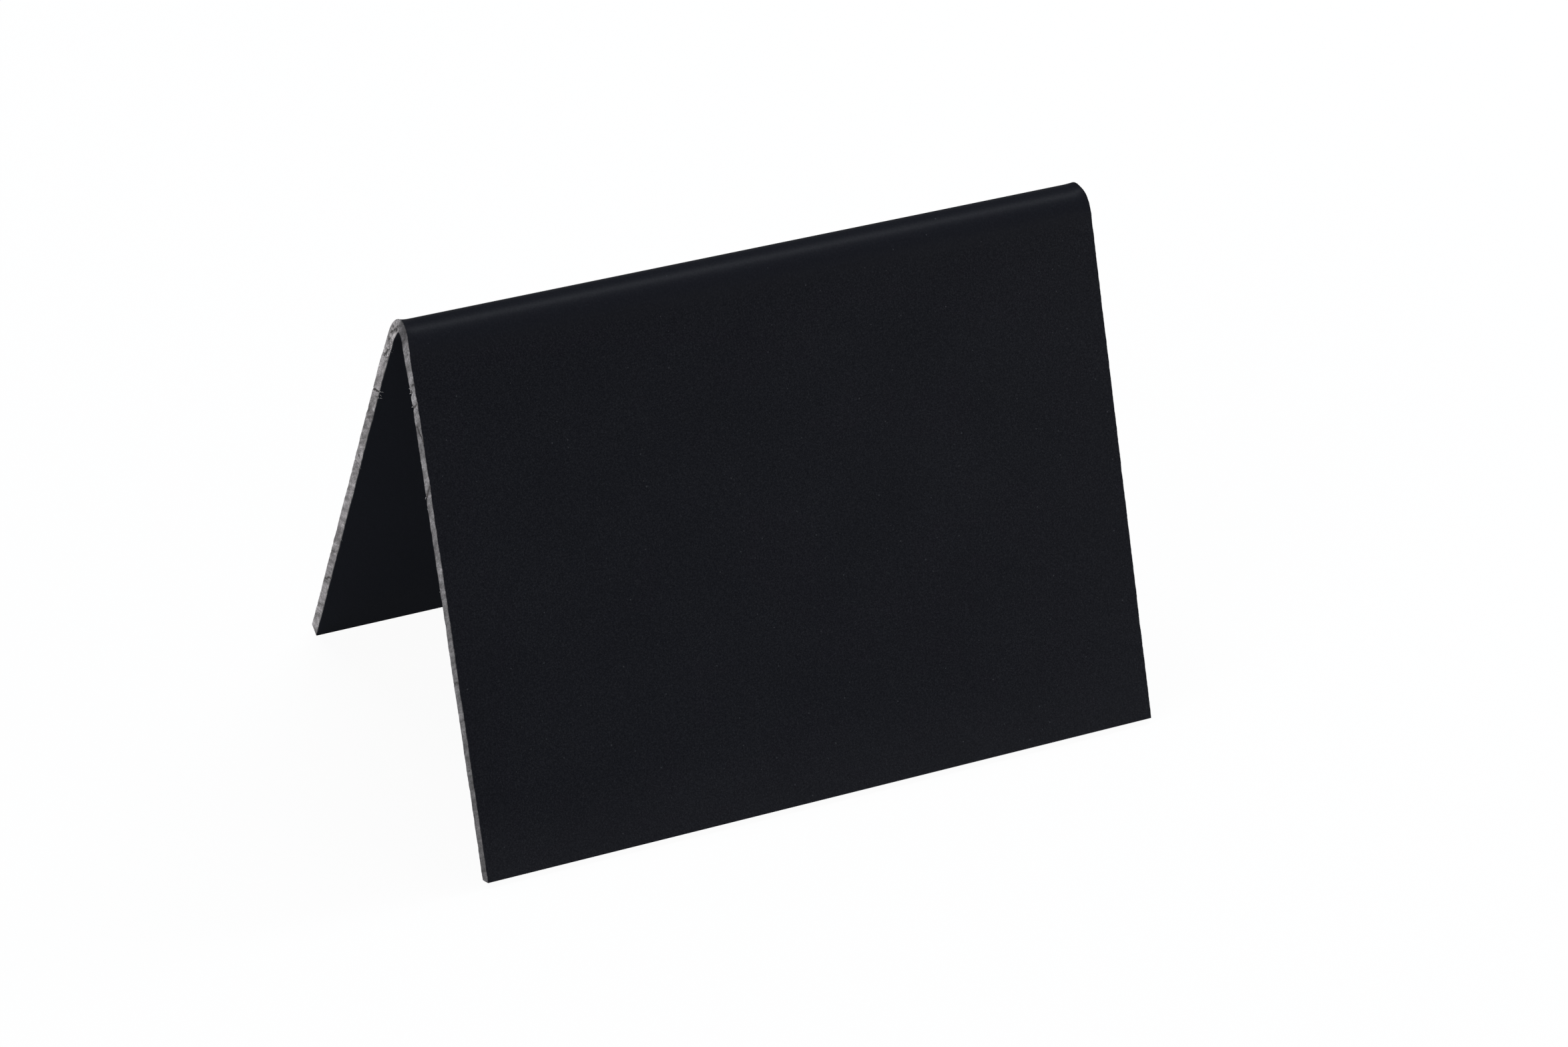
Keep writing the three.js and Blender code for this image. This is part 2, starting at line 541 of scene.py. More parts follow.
# %% Make the three layers
core_steps = 17
skin_steps = 4
core_offsets = [0, 0.05, 0.15, 0.4, 1, 2.2, 4.5, 8.5, 20]
core_inside = skin_thickness
core_outside = sheet_thickness - skin_thickness

core_mesh = layer_mesh("grey_core", core_inside, core_outside, core_steps, 0, core_offsets)
grey_core = add_piece("grey_core", core_mesh)
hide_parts("core_sheet")

outer_mesh = layer_mesh("black_outer_skin", core_outside, sheet_thickness, skin_steps, 0, skin_offsets)
black_outer_skin = add_piece("black_outer_skin", outer_mesh)
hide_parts("outer_skin")

inner_mesh = layer_mesh("black_inner_skin", 0, core_inside, skin_steps, foot_gap, skin_offsets)
black_inner_skin = add_piece("black_inner_skin", inner_mesh)
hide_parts("inner_skin")

# %% [markdown]
# ## Burrs
# Where the blade tore the sheet, whiskers of plastic hang from the inner arris. Hair could stand for
# them, but a small mesh stays with the rest of the part. Each is a thin, bent, five-sided cone
# with its root in the sheet. They are tiny, but they catch the light against the dark inside of the
# tent.

# %% Make one whisker
whisker_sides = 5
whisker_rings = 6
whisker_taper = 0.5
points_per_whisker = whisker_rings * whisker_sides + 1


def add_whisker(bm, root, tip, bend, root_radius):
    """A closed, tapering whisker from root to tip that bows towards bend."""
    run = tip - root
    first = run.orthogonal().normalized()
    second = run.cross(first).normalized()
    turns = [2 * math.pi * side / whisker_sides for side in range(whisker_sides)]
    rings = []
    for ring in range(whisker_rings):
        share = ring / whisker_rings
        centre = root + run * share + bend * math.sin(math.pi * share)
        radius = root_radius * (1 - share) ** whisker_taper
        spokes = [radius * (first * math.cos(turn) + second * math.sin(turn)) for turn in turns]
        rings.append([bm.verts.new(centre + spoke) for spoke in spokes])
    end = bm.verts.new(tip)
    for low, high in zip(rings, rings[1:]):
        for side in range(whisker_sides):
            after = (side + 1) % whisker_sides
            bm.faces.new([low[side], low[after], high[after], high[side]])
    for side in range(whisker_sides):
        bm.faces.new([rings[-1][side], rings[-1][(side + 1) % whisker_sides], end])
    bm.faces.new(list(reversed(rings[0])))


print("points in one whisker:", points_per_whisker)

# %% [markdown]
# Each line gives the root along the sheet, how far the tip reaches along, across and out from the
# inner face, and the radius at the root, in millimetres. The burrs carry a place on the flat sheet
# too, in the middle of the left end, so that they take the grey of the leg they hang from.

# %% Place the whiskers
whiskers = [
    (5.9, 0.1, 0.35, 0.14, 0.07),
    (6.4, -0.1, 0.2, 0.18, 0.06),
    (15.5, 0.0, 0.5, 0.14, 0.065),
    (16.0, 0.35, 0.35, 0.16, 0.06),
    (16.9, 0.0, 0.55, 0.12, 0.08),
    (-8.7, -0.2, -0.05, 0.3, 0.07),
    (-8.2, 0.1, -0.05, 0.24, 0.065),
    (-10.5, -0.2, -0.04, 0.25, 0.06),
    (-22.6, -0.4, -0.06, 0.22, 0.055),
    (-24.4, 0.2, 0.0, 0.15, 0.045),
    (-35.4, -0.2, 0.0, 0.15, 0.045),
    (50.6, 0.3, 0.15, 0.06, 0.045),
    (33.2, 0.2, 0.15, 0.06, 0.045),
]
whisker_root = 0.12 * MM
whisker_bend = Vector((-0.03 * MM, 0, 0.06 * MM))


def place_at_end(along, depth, inset):
    y, z = folded(np.array(along), np.array(depth))
    return Vector((-half_width + inset, float(y), float(z)))


whisker_bm = bmesh.new()
for along, reach_along, reach_across, reach_in, radius in whiskers:
    root = place_at_end(along * MM, whisker_root, 0)
    tip = place_at_end((along + reach_along) * MM, -reach_in * MM, reach_across * MM)
    add_whisker(whisker_bm, root, tip, whisker_bend, radius * MM)
burr_mesh = bpy.data.meshes.new("saw_burrs")
whisker_bm.to_mesh(burr_mesh)
whisker_bm.free()
burr_mesh.shade_smooth()
burr_places = [(whisker[0], -half_width / MM, sheet_thickness / 2 / MM) for whisker in whiskers]
burr_places = np.repeat(burr_places, points_per_whisker, axis=0)
add_values(burr_mesh, "flat_place_mm", "FLOAT_VECTOR", burr_places)
add_piece("saw_burrs", burr_mesh)

# %% [markdown]
# ## Short helpers for the node trees
# The finishes are all nodes, and a few helpers keep that code readable. One fills sockets with numbers,
# colours or links, and one adds a node with its inputs filled. One starts a node group: each named
# input is given by its usual value, or by its type where it has none.

# %% Write the node helpers
FLOAT = "NodeSocketFloat"
VECTOR = "NodeSocketVector"
COLOUR = "NodeSocketColor"


def fill(tree, sockets, values):
    for name, value in values.items():
        if isinstance(value, bpy.types.NodeSocket):
            tree.links.new(value, sockets[name])
        else:
            sockets[name].default_value = value


def add_node(tree, kind, inputs=None, **settings):
    node = tree.nodes.new(kind)
    for name, value in settings.items():
        setattr(node, name, value)
    fill(tree, node.inputs, inputs or {})
    return node


def new_group(name, inputs, outputs):
    group = bpy.data.node_groups.new(name, "ShaderNodeTree")
    for label, value in inputs.items():
        kind = value if isinstance(value, str) else FLOAT
        socket = group.interface.new_socket(label, in_out="INPUT", socket_type=kind)
        if kind == FLOAT:
            socket.default_value = value
    for label, kind in outputs.items():
        group.interface.new_socket(label, in_out="OUTPUT", socket_type=kind)
    return group, group.nodes.new("NodeGroupInput").outputs, group.nodes.new("NodeGroupOutput").inputs


def put_group(tree, group, inputs):
    return add_node(tree, "ShaderNodeGroup", inputs, node_tree=group).outputs


print("kinds of group socket:", FLOAT, VECTOR, COLOUR)

# %% [markdown]
# A sum is written with the operation's own name. A ramp does most of the work: it turns a distance
# or a noise into a share, and clamps it.


# %% Write the sums, ramps and mixes
def maths(tree, operation, *values):
    node = tree.nodes.new("ShaderNodeMath")
    node.operation = operation
    fill(tree, node.inputs, dict(enumerate(values)))
    return node.outputs["Value"]


def product(tree, total, *factors):
    for factor in factors:
        total = maths(tree, "MULTIPLY", total, factor)
    return total


def ramp(tree, value, low, high, to_low=0.0, to_high=1.0, **settings):
    inputs = {"Value": value, "From Min": low, "From Max": high, "To Min": to_low, "To Max": to_high}
    return add_node(tree, "ShaderNodeMapRange", inputs, **settings).outputs["Result"]


def distance_from(tree, value, place):
    return maths(tree, "ABSOLUTE", maths(tree, "SUBTRACT", value, place))


def parts_of(tree, vector):
    return add_node(tree, "ShaderNodeSeparateXYZ", {"Vector": vector}).outputs


def noise(tree, place, scale, detail, roughness=0.5, distortion=0.0):
    inputs = {"Vector": place, "Scale": scale, "Detail": detail}
    inputs |= {"Roughness": roughness, "Distortion": distortion}
    return add_node(tree, "ShaderNodeTexNoise", inputs).outputs["Fac"]


def mix_colour(tree, share, first, second, blend="MIX"):
    inputs = {"Factor": share, "A": first, "B": second}
    return add_node(tree, "ShaderNodeMix", inputs, data_type="RGBA", blend_type=blend).outputs["Result"]


def colour(red, green, blue):
    return (red, green, blue, 1.0)


print("plain white:", colour(1, 1, 1))

# %% [markdown]
# ## The matt grain
# Under a lens the skin is a low, irregular leather of hills about a quarter of a millimetre wide, with
# a finer sand on top. A picture of such a grain would show its edges and its pixels, and noises show
# neither. Two of them at these scales give the height. The tone is that height with a slow drift added,
# then squared, because the grain shows as pale points on a dark ground. Near the fold, where the sheet
# was heated and bent, most of the grain is ironed out.

# %% Build the matt grain group
sand_finer_by = 3.1
sand_weight = 0.45
slow_scale = 0.07
slow_weight = 0.12
tone_range = (0.5, 1.1)
tone_power = 2.0
tone_mean = 0.28
grain_left_at_fold = 0.35

grain_group, grain_in, grain_out = new_group(
    "matt_grain",
    {"Place": VECTOR, "Hills per mm": 4.4, "Ironed to mm": 3.2, "Grained from mm": 5.2},
    {"Height": FLOAT, "Tone": FLOAT, "Grain left": FLOAT},
)
hill_scale = grain_in["Hills per mm"]
hills = noise(grain_group, grain_in["Place"], hill_scale, detail=3.0, roughness=0.55, distortion=0.4)
sand_scale = product(grain_group, hill_scale, sand_finer_by)
sand = noise(grain_group, grain_in["Place"], sand_scale, detail=1.0)
grain_height = maths(grain_group, "ADD", hills, product(grain_group, sand, sand_weight))
slow_tone = noise(grain_group, grain_in["Place"], slow_scale, detail=2.0)
slow_tone = product(grain_group, slow_tone, slow_weight)
grain_tone = ramp(grain_group, maths(grain_group, "ADD", grain_height, slow_tone), *tone_range)
grain_tone = maths(grain_group, "POWER", grain_tone, tone_power)

from_fold = maths(grain_group, "ABSOLUTE", parts_of(grain_group, grain_in["Place"])["X"])
ironing = (grain_in["Ironed to mm"], grain_in["Grained from mm"])
grain_left = ramp(grain_group, from_fold, *ironing, grain_left_at_fold, 1.0)
grain_tone = product(grain_group, maths(grain_group, "SUBTRACT", grain_tone, tone_mean), grain_left)
grain_tone = maths(grain_group, "ADD", grain_tone, tone_mean)
fill(grain_group, grain_out, {"Height": grain_height, "Tone": grain_tone, "Grain left": grain_left})
print("matt grain group nodes:", len(grain_group.nodes))

# %% [markdown]
# ## Pale specks
# Dust and pale flecks in the plastic show as light points, few and far apart. A cell texture has one
# random point in each cell. The distance to it makes a round speck, and the cell's random colour
# decides whether the speck is there, how wide it is and how strong.

# %% Build the speck group
speck_core = 0.5
speck_group, speck_in, speck_out = new_group(
    "pale_specks",
    {"Place": VECTOR, "Cells per mm": 0.9, "Radius in cells": 0.13, "Share of cells": 0.3},
    {"Mask": FLOAT},
)
cell_inputs = {"Vector": speck_in["Place"], "Scale": speck_in["Cells per mm"]}
cells = add_node(speck_group, "ShaderNodeTexVoronoi", cell_inputs).outputs
chance = add_node(speck_group, "ShaderNodeSeparateColor", {"Color": cells["Color"]}).outputs
present = maths(speck_group, "LESS_THAN", chance["Red"], speck_in["Share of cells"])
speck_radius = product(speck_group, chance["Green"], speck_in["Radius in cells"])
radii_out = maths(speck_group, "DIVIDE", cells["Distance"], speck_radius)
speck = ramp(speck_group, radii_out, speck_core, 1.0, 1.0, 0.0, interpolation_type="SMOOTHSTEP")
fill(speck_group, speck_out, {"Mask": product(speck_group, speck, present, chance["Blue"])})
print("speck group nodes:", len(speck_group.nodes))

# %% [markdown]
# ## Painted light towards the feet
# The skins are painted paler near their feet, as painted light from the pale table. Its share grows
# over the last centimetre of each leg, and both skins take it from one group.

# %% Build the painted foot light group
# Painted light: the skins are made paler over the last centimetre of each leg, for the table's light on the
# feet.
foot_light_range = (64.0, 75.0)
foot_light_inputs = {"Place": VECTOR, "Amount": 0.05}
foot_light_group, foot_light_in, foot_light_out = new_group("painted_foot_light", foot_light_inputs, {"Mask": FLOAT})
foot_light_place = maths(foot_light_group, "ABSOLUTE", parts_of(foot_light_group, foot_light_in["Place"])["X"])
foot_light_mask = ramp(foot_light_group, foot_light_place, *foot_light_range, 0.0, foot_light_in["Amount"])
fill(foot_light_group, foot_light_out, {"Mask": foot_light_mask})
print("dust grows between", foot_light_range, "mm from the fold")

# %% [markdown]
# ## Marks of the saw, as colour
# The marks follow arcs round the centre of the blade. A wave texture has rings too, but they are too
# even for a saw. This group turns a place on the object into its distance from that centre and its turn
# round it, and stretches the two differently. A noise read there is fine across the arcs and long along
# them.

# %% Find places along the arcs
arc_stretch = 14.0
saw_group, saw_in, saw_out = new_group(
    "saw_marks",
    {
        "Position": VECTOR,
        "Marks per mm": 2.4,
        "Bands per mm": 0.8,
        "Patches per mm": 0.9,
        "Grit per mm": 5.0,
    },
    {"Streaks": FLOAT, "Bands": FLOAT, "Patches": FLOAT, "Grit": FLOAT},
)
saw_place = parts_of(saw_group, saw_in["Position"])
from_centre_y = maths(saw_group, "SUBTRACT", saw_place["Y"], blade_centre_y)
from_centre_z = maths(saw_group, "SUBTRACT", saw_place["Z"], blade_centre_z)
square_y = product(saw_group, from_centre_y, from_centre_y)
square_z = product(saw_group, from_centre_z, from_centre_z)
radius_m = maths(saw_group, "SQRT", maths(saw_group, "ADD", square_y, square_z))
turn = maths(saw_group, "ARCTAN2", from_centre_z, from_centre_y)
arc_parts = {
    "X": maths(saw_group, "DIVIDE", radius_m, MM),
    "Y": product(saw_group, turn, arc_stretch),
    "Z": maths(saw_group, "DIVIDE", saw_place["X"], MM),
}
arc_place = add_node(saw_group, "ShaderNodeCombineXYZ", arc_parts).outputs["Vector"]
to_mm = {0: saw_in["Position"], 1: (1 / MM, 1 / MM, 1 / MM)}
plain_place = add_node(saw_group, "ShaderNodeVectorMath", to_mm, operation="MULTIPLY").outputs["Vector"]
print("arcs round", blade_centre_y / MM, "and", blade_centre_z / MM, "mm")

# %% [markdown]
# Two noises follow the arcs: streaks with detail down to a hair, and broad chatter bands. Two more,
# the patches and the grit, are plain noises in the core itself.

# %% Read the four noises of the saw
saw_noises = {
    "Streaks": noise(saw_group, arc_place, saw_in["Marks per mm"], 4.0, roughness=0.6, distortion=0.4),
    "Bands": noise(saw_group, arc_place, saw_in["Bands per mm"], 1.5),
    "Patches": noise(saw_group, plain_place, saw_in["Patches per mm"], 2.0, distortion=0.8),
    "Grit": noise(saw_group, plain_place, saw_in["Grit per mm"], 2.0, roughness=0.6),
}
fill(saw_group, saw_out, saw_noises)
print("saw mark group nodes:", len(saw_group.nodes))

# %% [markdown]
# ## The sawn grey
# The core is a warm grey. The rear leg's end is paler than the front leg's, which darkens towards its
# foot, and the crown has a dark bruise. The core, the burrs and the smeared edge of the skins all show
# this grey, so it is one group and not the same nodes three times over.

# %% Choose the grey of each leg
rear_grey = colour(0.264, 0.249, 0.251)
front_grey = colour(0.191, 0.184, 0.189)
front_foot_grey = colour(0.097, 0.093, 0.096)
bruise_grey = colour(0.07, 0.067, 0.072)
front_darkens = (-18.0, -72.0)
rear_begins = (-0.5, 2.0)
bruise_middle = -0.9
bruise_fades = (1.8, 0.5)
bruise_strength = 0.92

grey_group, grey_in, grey_out = new_group(
    "sawn_grey",
    {"Place": VECTOR, "Scar": 0.0, "Position": VECTOR},
    {"Colour": COLOUR, "Height": FLOAT},
)
grey_place = parts_of(grey_group, grey_in["Place"])
along_sheet = grey_place["X"]
saw = put_group(grey_group, saw_group, {"Position": grey_in["Position"]})
down_front = ramp(grey_group, along_sheet, *front_darkens)
leg_colour = mix_colour(grey_group, down_front, front_grey, front_foot_grey)
on_rear = ramp(grey_group, along_sheet, *rear_begins)
leg_colour = mix_colour(grey_group, on_rear, leg_colour, rear_grey)
bruise = distance_from(grey_group, along_sheet, bruise_middle)
bruise = ramp(grey_group, bruise, *bruise_fades, 0.0, bruise_strength)
leg_colour = mix_colour(grey_group, bruise, leg_colour, bruise_grey)
print("rear leg grey", rear_grey[:3], "front leg grey", front_grey[:3])

# %% [markdown]
# The saw marks then shift that grey. Each noise becomes a factor round one, and the factors are
# multiplied, so a pale streak in a pale band is palest of all.

# %% Shift the grey with the saw marks
noise_range = (0.3, 0.7)
tone_contrasts = {"Streaks": 0.3, "Bands": 0.34, "Patches": 0.22, "Grit": 0.32}
tones = [
    ramp(grey_group, saw[label], *noise_range, 1 - contrast, 1 + contrast)
    for label, contrast in tone_contrasts.items()
]
tone = product(grey_group, *tones)
print("saw tones:", tone_contrasts)

# %% [markdown]
# Two stretches of the rear leg are torn rather than cut: one just below the fold, where the plastic
# is crumbled and whitened, and a dark one further down. Fine dark specks show there most.

# %% Add the torn stretches
fold_tear_middle = 5.2
fold_tear_fades = (4.4, 3.4)
below_fold = (2.2, 3.4)
pale_patches = (0.42, 0.62)
whitening = 0.4
rear_tear_middle = 21.8
rear_tear_fades = (1.6, 1.1)
darkening = 0.3
dark_grit = (0.37, 0.44)
darkest_speck = 0.35
specks_elsewhere = 0.35
overall_contrast = 1.3

fold_tear = distance_from(grey_group, along_sheet, fold_tear_middle)
fold_tear = ramp(grey_group, fold_tear, *fold_tear_fades)
rear_tear = distance_from(grey_group, along_sheet, rear_tear_middle)
rear_tear = ramp(grey_group, rear_tear, *rear_tear_fades)
whitened = ramp(grey_group, saw["Patches"], *pale_patches, 0.0, whitening)
whitened = product(grey_group, whitened, fold_tear, ramp(grey_group, along_sheet, *below_fold))
whitened = maths(grey_group, "ADD", whitened, 1.0)
darkened = ramp(grey_group, rear_tear, 0.0, 1.0, 1.0, 1 - darkening)
torn = maths(grey_group, "MAXIMUM", fold_tear, rear_tear)
speck_strength = ramp(grey_group, torn, 0.0, 1.0, specks_elsewhere, 1.0)
dark_specks = ramp(grey_group, saw["Grit"], *dark_grit, darkest_speck, 1.0)
dark_specks = maths(grey_group, "POWER", dark_specks, speck_strength)
tone = product(grey_group, tone, whitened, darkened, dark_specks)
tone = maths(grey_group, "POWER", tone, overall_contrast)
print("torn stretches at", fold_tear_middle, "and", rear_tear_middle, "mm on the rear leg")

# %% [markdown]
# On the rear leg the grey is darkened in a thin, ragged line along the inner arris. Last, every scar
# is painted darker by how deep it is, as painted shade in its hollow, and the streaks and patches are
# put out as a height.

# %% Darken the inner arris and paint shade into the scars
# Painted shade: the deepest scars are painted this dark grey, for the shade in their hollows.
scar_shade_grey = colour(0.036, 0.033, 0.032)
scar_shade_range = (0.015, 0.075)
arris_dark_reach_mm = (0.14, 0.42)
arris_dark_fades = (1.0, 0.6)
arris_dark_strength = 0.8
arris_dark_begins = (1.0, 4.0)
streak_height = 0.5

# The grey is darkened in a ragged line along the rear leg's inner arris; the streaks set its reach.
arris_dark_reach = ramp(grey_group, saw["Streaks"], *noise_range, *arris_dark_reach_mm)
arris_darkened = maths(grey_group, "DIVIDE", grey_place["Z"], arris_dark_reach)
arris_darkened = ramp(grey_group, arris_darkened, *arris_dark_fades, 0.0, arris_dark_strength)
arris_darkened = product(grey_group, arris_darkened, ramp(grey_group, along_sheet, *arris_dark_begins))
tone = product(grey_group, tone, maths(grey_group, "SUBTRACT", 1.0, arris_darkened))

tone_parts = {"Red": tone, "Green": tone, "Blue": tone}
tone_colour = add_node(grey_group, "ShaderNodeCombineColor", tone_parts).outputs["Color"]
toned = mix_colour(grey_group, 1.0, leg_colour, tone_colour, "MULTIPLY")
# Painted shade: the share of the dark grey grows with how deep the scar is.
scar_shade_share = ramp(grey_group, grey_in["Scar"], *scar_shade_range)
streak_hills = product(grey_group, saw["Streaks"], streak_height)
sawn = {
    "Colour": mix_colour(grey_group, scar_shade_share, toned, scar_shade_grey),
    "Height": maths(grey_group, "ADD", streak_hills, saw["Patches"]),
}
fill(grey_group, grey_out, sawn)
print("sawn grey group nodes:", len(grey_group.nodes))

# %% [markdown]
# ## The core and its burrs
# The core takes the sawn grey as it is, with the saw marks as a fine bump. The group is told where it
# is by the place and the scar that are stored on the mesh, and by the object's own position.

# %% Make the core material
bump_strength = 0.5
saw_mark_height = 0.03 * MM


def new_material(name):
    material = bpy.data.materials.new(name)
    material.use_nodes = True
    tree = material.node_tree
    return material, tree, tree.nodes["Principled BSDF"].inputs


def stored_value(tree, name, output):
    return add_node(tree, "ShaderNodeAttribute", attribute_name=name).outputs[output]


def bump(tree, distance, height):
    inputs = {"Strength": bump_strength, "Distance": distance, "Height": height}
    return add_node(tree, "ShaderNodeBump", inputs).outputs["Normal"]


def sawn_surface(tree):
    inputs = {
        "Place": stored_value(tree, "flat_place_mm", "Vector"),
        "Scar": stored_value(tree, "scar_mm", "Fac"),
        "Position": add_node(tree, "ShaderNodeTexCoord").outputs["Object"],
    }
    return put_group(tree, grey_group, inputs)


core_material, core_tree, core_shader = new_material("sawn_grey_core")
core_sawn = sawn_surface(core_tree)
core_finish = {
    "Base Color": core_sawn["Colour"],
    "Normal": bump(core_tree, saw_mark_height, core_sawn["Height"]),
    "Roughness": 0.78,
    "Specular IOR Level": 0.3,
}
fill(core_tree, core_shader, core_finish)
core_mesh.materials.append(core_material)
print("core material nodes:", len(core_tree.nodes))

# %% [markdown]
# A burr is the same plastic, stretched until it whitened, so it mixes the sawn grey with a paler one.

# %% Make the burr material
burr_white = colour(0.5, 0.49, 0.49)
burr_whitening = 0.6
burr_material, burr_tree, burr_shader = new_material("whitened_burr")
burr_grey = sawn_surface(burr_tree)["Colour"]
burr_finish = {
    "Base Color": mix_colour(burr_tree, burr_whitening, burr_grey, burr_white),
    "Roughness": 0.7,
    "Specular IOR Level": 0.3,
}
fill(burr_tree, burr_shader, burr_finish)
burr_mesh.materials.append(burr_material)
print("burr material nodes:", len(burr_tree.nodes))

# %% [markdown]
# ## The smeared edge of the skins
# At the sawn ends the teeth have smeared grey over the edge of the skin, a few hundredths of a
# millimetre in, and a noise makes that reach ragged. It thins out towards the front foot, and the
# cleaner right end has far less. Each skin gives this group its own reach and strength.

# %% Build the end smear group
smear_scale = 1.3
right_end_cleaner = 0.28
least_reach = 0.001
smear_fades = (1.0, 0.7)
leg_changes = (-0.5, 1.5)
front_fades = (-24.0, -50.0)
left_at_front_foot = 0.4

smear_group, smear_in, smear_out = new_group(
    "end_smear",
    {"Place": VECTOR, "End distance": 0.0, "Reach in mm": 0.03, "Front smear": 0.9, "Rear smear": 0.9},
    {"Mask": FLOAT},
)
smear_place = parts_of(smear_group, smear_in["Place"])
right_half = maths(smear_group, "GREATER_THAN", smear_place["Y"], 0.0)
cleaner = product(smear_group, right_half, right_end_cleaner)
ragged = noise(smear_group, smear_in["Place"], smear_scale, detail=3.0)
ragged = maths(smear_group, "SUBTRACT", ragged, cleaner)
smear_reach = ramp(smear_group, ragged, *noise_range, least_reach, smear_in["Reach in mm"])
smear_mask = maths(smear_group, "DIVIDE", smear_in["End distance"], smear_reach)
smear_mask = ramp(smear_group, smear_mask, *smear_fades)
leg_smears = (smear_in["Front smear"], smear_in["Rear smear"])
leg_smear = ramp(smear_group, smear_place["X"], *leg_changes, *leg_smears)
fade = ramp(smear_group, smear_place["X"], *front_fades, 1.0, left_at_front_foot)
fill(smear_group, smear_out, {"Mask": product(smear_group, smear_mask, leg_smear, fade)})
print("end smear group nodes:", len(smear_group.nodes))

# %% [markdown]
# ## The near-black skins
# A skin is almost black with a blue cast. The grain shifts its tone by about a hundredth of white, and
# its gloss a little. The whole surface could be given some shine, but that would lift the black faces
# too. So the gloss is a thin film over a matt ground: a weak coat shows the lamp as a soft band on the
# fold, and the ground has no shine of its own, so the faces stay dark from every side.

# %% Write the skin finish
# Painted light: the paler colour that the feet are mixed towards, for the table's light on them.
foot_light_colour = colour(0.055, 0.056, 0.06)
grain_relief = 0.02 * MM
speck_stands_out = 1.5
height_range = (0.4, 1.0)
ground_roughness = (0.5, 0.6)
film_change = 0.2


def skin_material(name, tones, smear, speck_share, speck_colour, film_gloss, film_roughness):
    """A skin from its dark and light tones, its smear, its specks and its film."""
    material, tree, shader = new_material(name)
    place = stored_value(tree, "flat_place_mm", "Vector")
    grain = put_group(tree, grain_group, {"Place": place})
    foot_light = put_group(tree, foot_light_group, {"Place": place})["Mask"]
    specks = put_group(tree, speck_group, {"Place": place, "Share of cells": speck_share})["Mask"]
    at_end = {"Place": place, "End distance": stored_value(tree, "end_distance_mm", "Fac")}
    smeared = put_group(tree, smear_group, smear | at_end)["Mask"]
    skin_colour = mix_colour(tree, grain["Tone"], *tones)
    # Painted light: the feet are mixed towards a paler colour, for the table's light on them.
    skin_colour = mix_colour(tree, foot_light, skin_colour, foot_light_colour)
    skin_colour = mix_colour(tree, specks, skin_colour, speck_colour)
    skin_colour = mix_colour(tree, smeared, skin_colour, sawn_surface(tree)["Colour"])
    height = maths(tree, "ADD", grain["Height"], product(tree, specks, speck_stands_out))
    height = product(tree, height, grain["Grain left"])
    film = ((1 - film_change) * film_gloss, (1 + film_change) * film_gloss)
    finish = {
        "Base Color": skin_colour,
        "Roughness": ramp(tree, grain["Height"], *height_range, *ground_roughness),
        "Normal": bump(tree, grain_relief, height),
        "Coat Weight": ramp(tree, grain["Height"], *height_range, *film),
        "Coat Roughness": film_roughness,
        "Specular IOR Level": 0.0,
    }
    fill(tree, shader, finish)
    print(name, "nodes:", len(tree.nodes))
    return material


print("roughness of the ground, least and most:", ground_roughness)

# %% [markdown]
# The outside skin has the stronger grain and the film that shows on the fold. The inside skin is
# flatter, has few specks and no smear on the rear leg, where its cut edge stays a thin dark line.

# %% Make the two skins
outer_material = skin_material(
    "matt_black_outside",
    tones=(colour(0.005, 0.0055, 0.0081), colour(0.019, 0.0201, 0.0248)),
    smear={"Reach in mm": 0.035, "Front smear": 0.95, "Rear smear": 0.9},
    speck_share=0.6,
    speck_colour=colour(0.04, 0.042, 0.048),
    film_gloss=0.08,
    film_roughness=0.4,
)
inner_material = skin_material(
    "matt_black_inside",
    tones=(colour(0.0091, 0.0103, 0.0142), colour(0.013, 0.0146, 0.0191)),
    smear={"Reach in mm": 0.03, "Front smear": 0.9, "Rear smear": 0.0},
    speck_share=0.05,
    speck_colour=colour(0.02, 0.021, 0.024),
    film_gloss=0.04,
    film_roughness=0.5,
)
outer_mesh.materials.append(outer_material)
inner_mesh.materials.append(inner_material)

# %% [markdown]
# ## The table
# The sign stands on a pale table, white to the camera and in reflections. A small share of it stays
# a matt surface, so that it keeps the sign's soft shadow.

# %% Make the floor
floor_side = 6.0
shadow_share = 0.05
floor_mesh = bpy.data.meshes.new("table_top")
floor_bm = bmesh.new()
bmesh.ops.create_grid(floor_bm, x_segments=8, y_segments=8, size=floor_side / 2)
floor_bm.to_mesh(floor_mesh)
floor_bm.free()
table_top = bpy.data.objects.new("table_top", floor_mesh)
bpy.context.scene.collection.objects.link(table_top)
table_top.location.z = cad_low.z

floor_material, floor_tree, floor_shader = new_material("pale_table")
matt_white = {"Base Color": colour(0.95, 0.95, 0.95), "Roughness": 0.9, "Specular IOR Level": 0.0}
fill(floor_tree, floor_shader, matt_white)
floor_rays = add_node(floor_tree, "ShaderNodeLightPath").outputs
seen = maths(floor_tree, "MAXIMUM", floor_rays["Is Camera Ray"], floor_rays["Is Glossy Ray"])
seen = maths(floor_tree, "MAXIMUM", seen, floor_rays["Is Transmission Ray"])
plain_white = add_node(floor_tree, "ShaderNodeEmission", {"Color": colour(1, 1, 1), "Strength": 1.0})
floor_inputs = {
    0: product(floor_tree, seen, 1 - shadow_share),
    1: floor_tree.nodes["Principled BSDF"].outputs["BSDF"],
    2: plain_white.outputs["Emission"],
}
floor_surface = add_node(floor_tree, "ShaderNodeMixShader", floor_inputs).outputs["Shader"]
fill(floor_tree, floor_tree.nodes["Material Output"].inputs, {"Surface": floor_surface})
floor_mesh.materials.append(floor_material)
print("floor at height in mm:", round(table_top.location.z / MM, 3))

# %% [markdown]
# ## The room
# The world is a low white wall all round and a dim room above it, which keeps the black faces dark.
# How strong it is depends only on how high a direction points, so it is the same from every side. The
# camera sees plain white all over.

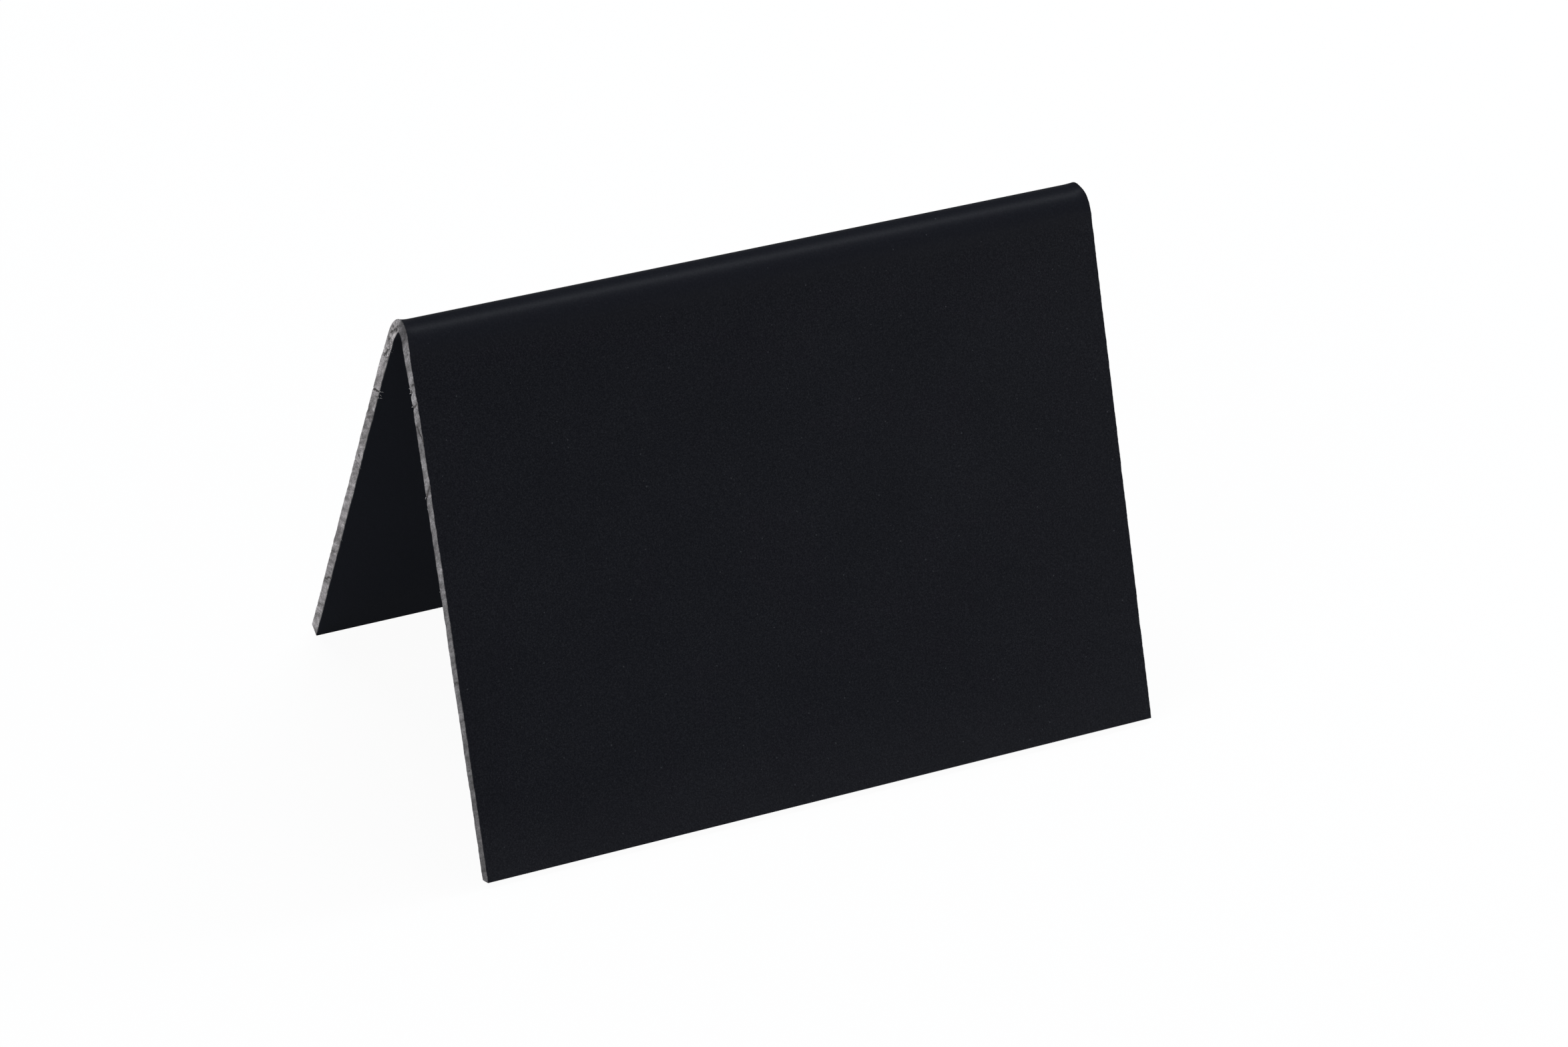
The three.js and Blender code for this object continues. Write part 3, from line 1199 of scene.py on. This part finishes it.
# %% Make the room
wall_top = 0.05
wall_fade = 0.14
wall_strength = 1.0
room_strength = 0.16
world = bpy.data.worlds.new("studio_room")
bpy.context.scene.world = world
world.use_nodes = True
world_tree = world.node_tree
direction = add_node(world_tree, "ShaderNodeTexCoord").outputs["Generated"]
direction_height = parts_of(world_tree, direction)["Z"]
strength = ramp(world_tree, direction_height, wall_top, wall_fade, wall_strength, room_strength)
world_rays = add_node(world_tree, "ShaderNodeLightPath").outputs
strength = maths(world_tree, "MAXIMUM", strength, world_rays["Is Camera Ray"])
fill(world_tree, world_tree.nodes["Background"].inputs, {"Color": colour(1, 1, 1), "Strength": strength})
print("wall strength", wall_strength, "room strength", room_strength)

# %% [markdown]
# ## Soft lamps
# A long, narrow, slightly cool soft box hangs above and a little behind the sign, in line with the
# fold. The fold shows it as one band, and the front face hardly sees it. A square box stands to
# the left of the front, low enough to light the sawn end, and a weaker one fills the right.


# %% Hang the lamps
def add_soft_box(name, place, aim, size, watts, tint=(1, 1, 1)):
    light = bpy.data.lights.new(name, "AREA")
    light.color = tint
    light.shape = "RECTANGLE"
    light.size, light.size_y = size
    light.energy = watts
    lamp = bpy.data.objects.new(name, light)
    bpy.context.scene.collection.objects.link(lamp)
    lamp.location = place
    lamp.rotation_mode = "QUATERNION"
    lamp.rotation_quaternion = (Vector(aim) - Vector(place)).to_track_quat("-Z", "Y")
    print(name, watts, "W at", [round(part, 2) for part in place])


sign_middle = (0, 0, 0.035)
under_the_box = (0.38, 0, 0.035)
cool_white = (0.88, 0.93, 1.0)
add_soft_box("overhead_box", (0.38, 0.32, 0.92), under_the_box, (1.3, 0.14), 9.5, tint=cool_white)
add_soft_box("front_left_box", (-1.05, -0.5, 0.45), sign_middle, (0.8, 0.8), watts=6.5)
add_soft_box("right_box", (0.6, -0.5, 0.22), sign_middle, (0.5, 0.5), watts=2.0)

# %% [markdown]
# ## The camera
# The camera stands well back and looks down on the sign with a long lens, so that the sides of the
# sheet stay nearly parallel. Its place and angles were fitted to the straight edges of the sign.

# %% Set up the camera
camera_place = Vector((-271.94, -546.96, 433.59)) * MM
camera_turn = math.radians(27.056)
camera_dip = math.radians(33.713)
camera_roll = math.radians(3.056)
camera_data = bpy.data.cameras.new("photo_camera")
camera_data.sensor_width = 36
camera_data.lens = 122.53
camera = bpy.data.objects.new("photo_camera", camera_data)
bpy.context.scene.collection.objects.link(camera)
turned = Matrix.Rotation(-camera_turn, 4, "Z")
dipped = Matrix.Rotation(math.pi / 2 - camera_dip, 4, "X")
rolled = Matrix.Rotation(camera_roll, 4, "Z")
camera.matrix_world = Matrix.Translation(camera_place) @ turned @ dipped @ rolled
bpy.context.scene.camera = camera
bpy.context.scene.view_settings.view_transform = "Standard"
print("camera stands", round(camera_place.length, 3), "m from the sign")

# %% [markdown]
# ## Update the scene
# The last cell brings the view layer up to date.

# %% Update the view layer
bpy.context.view_layer.update()
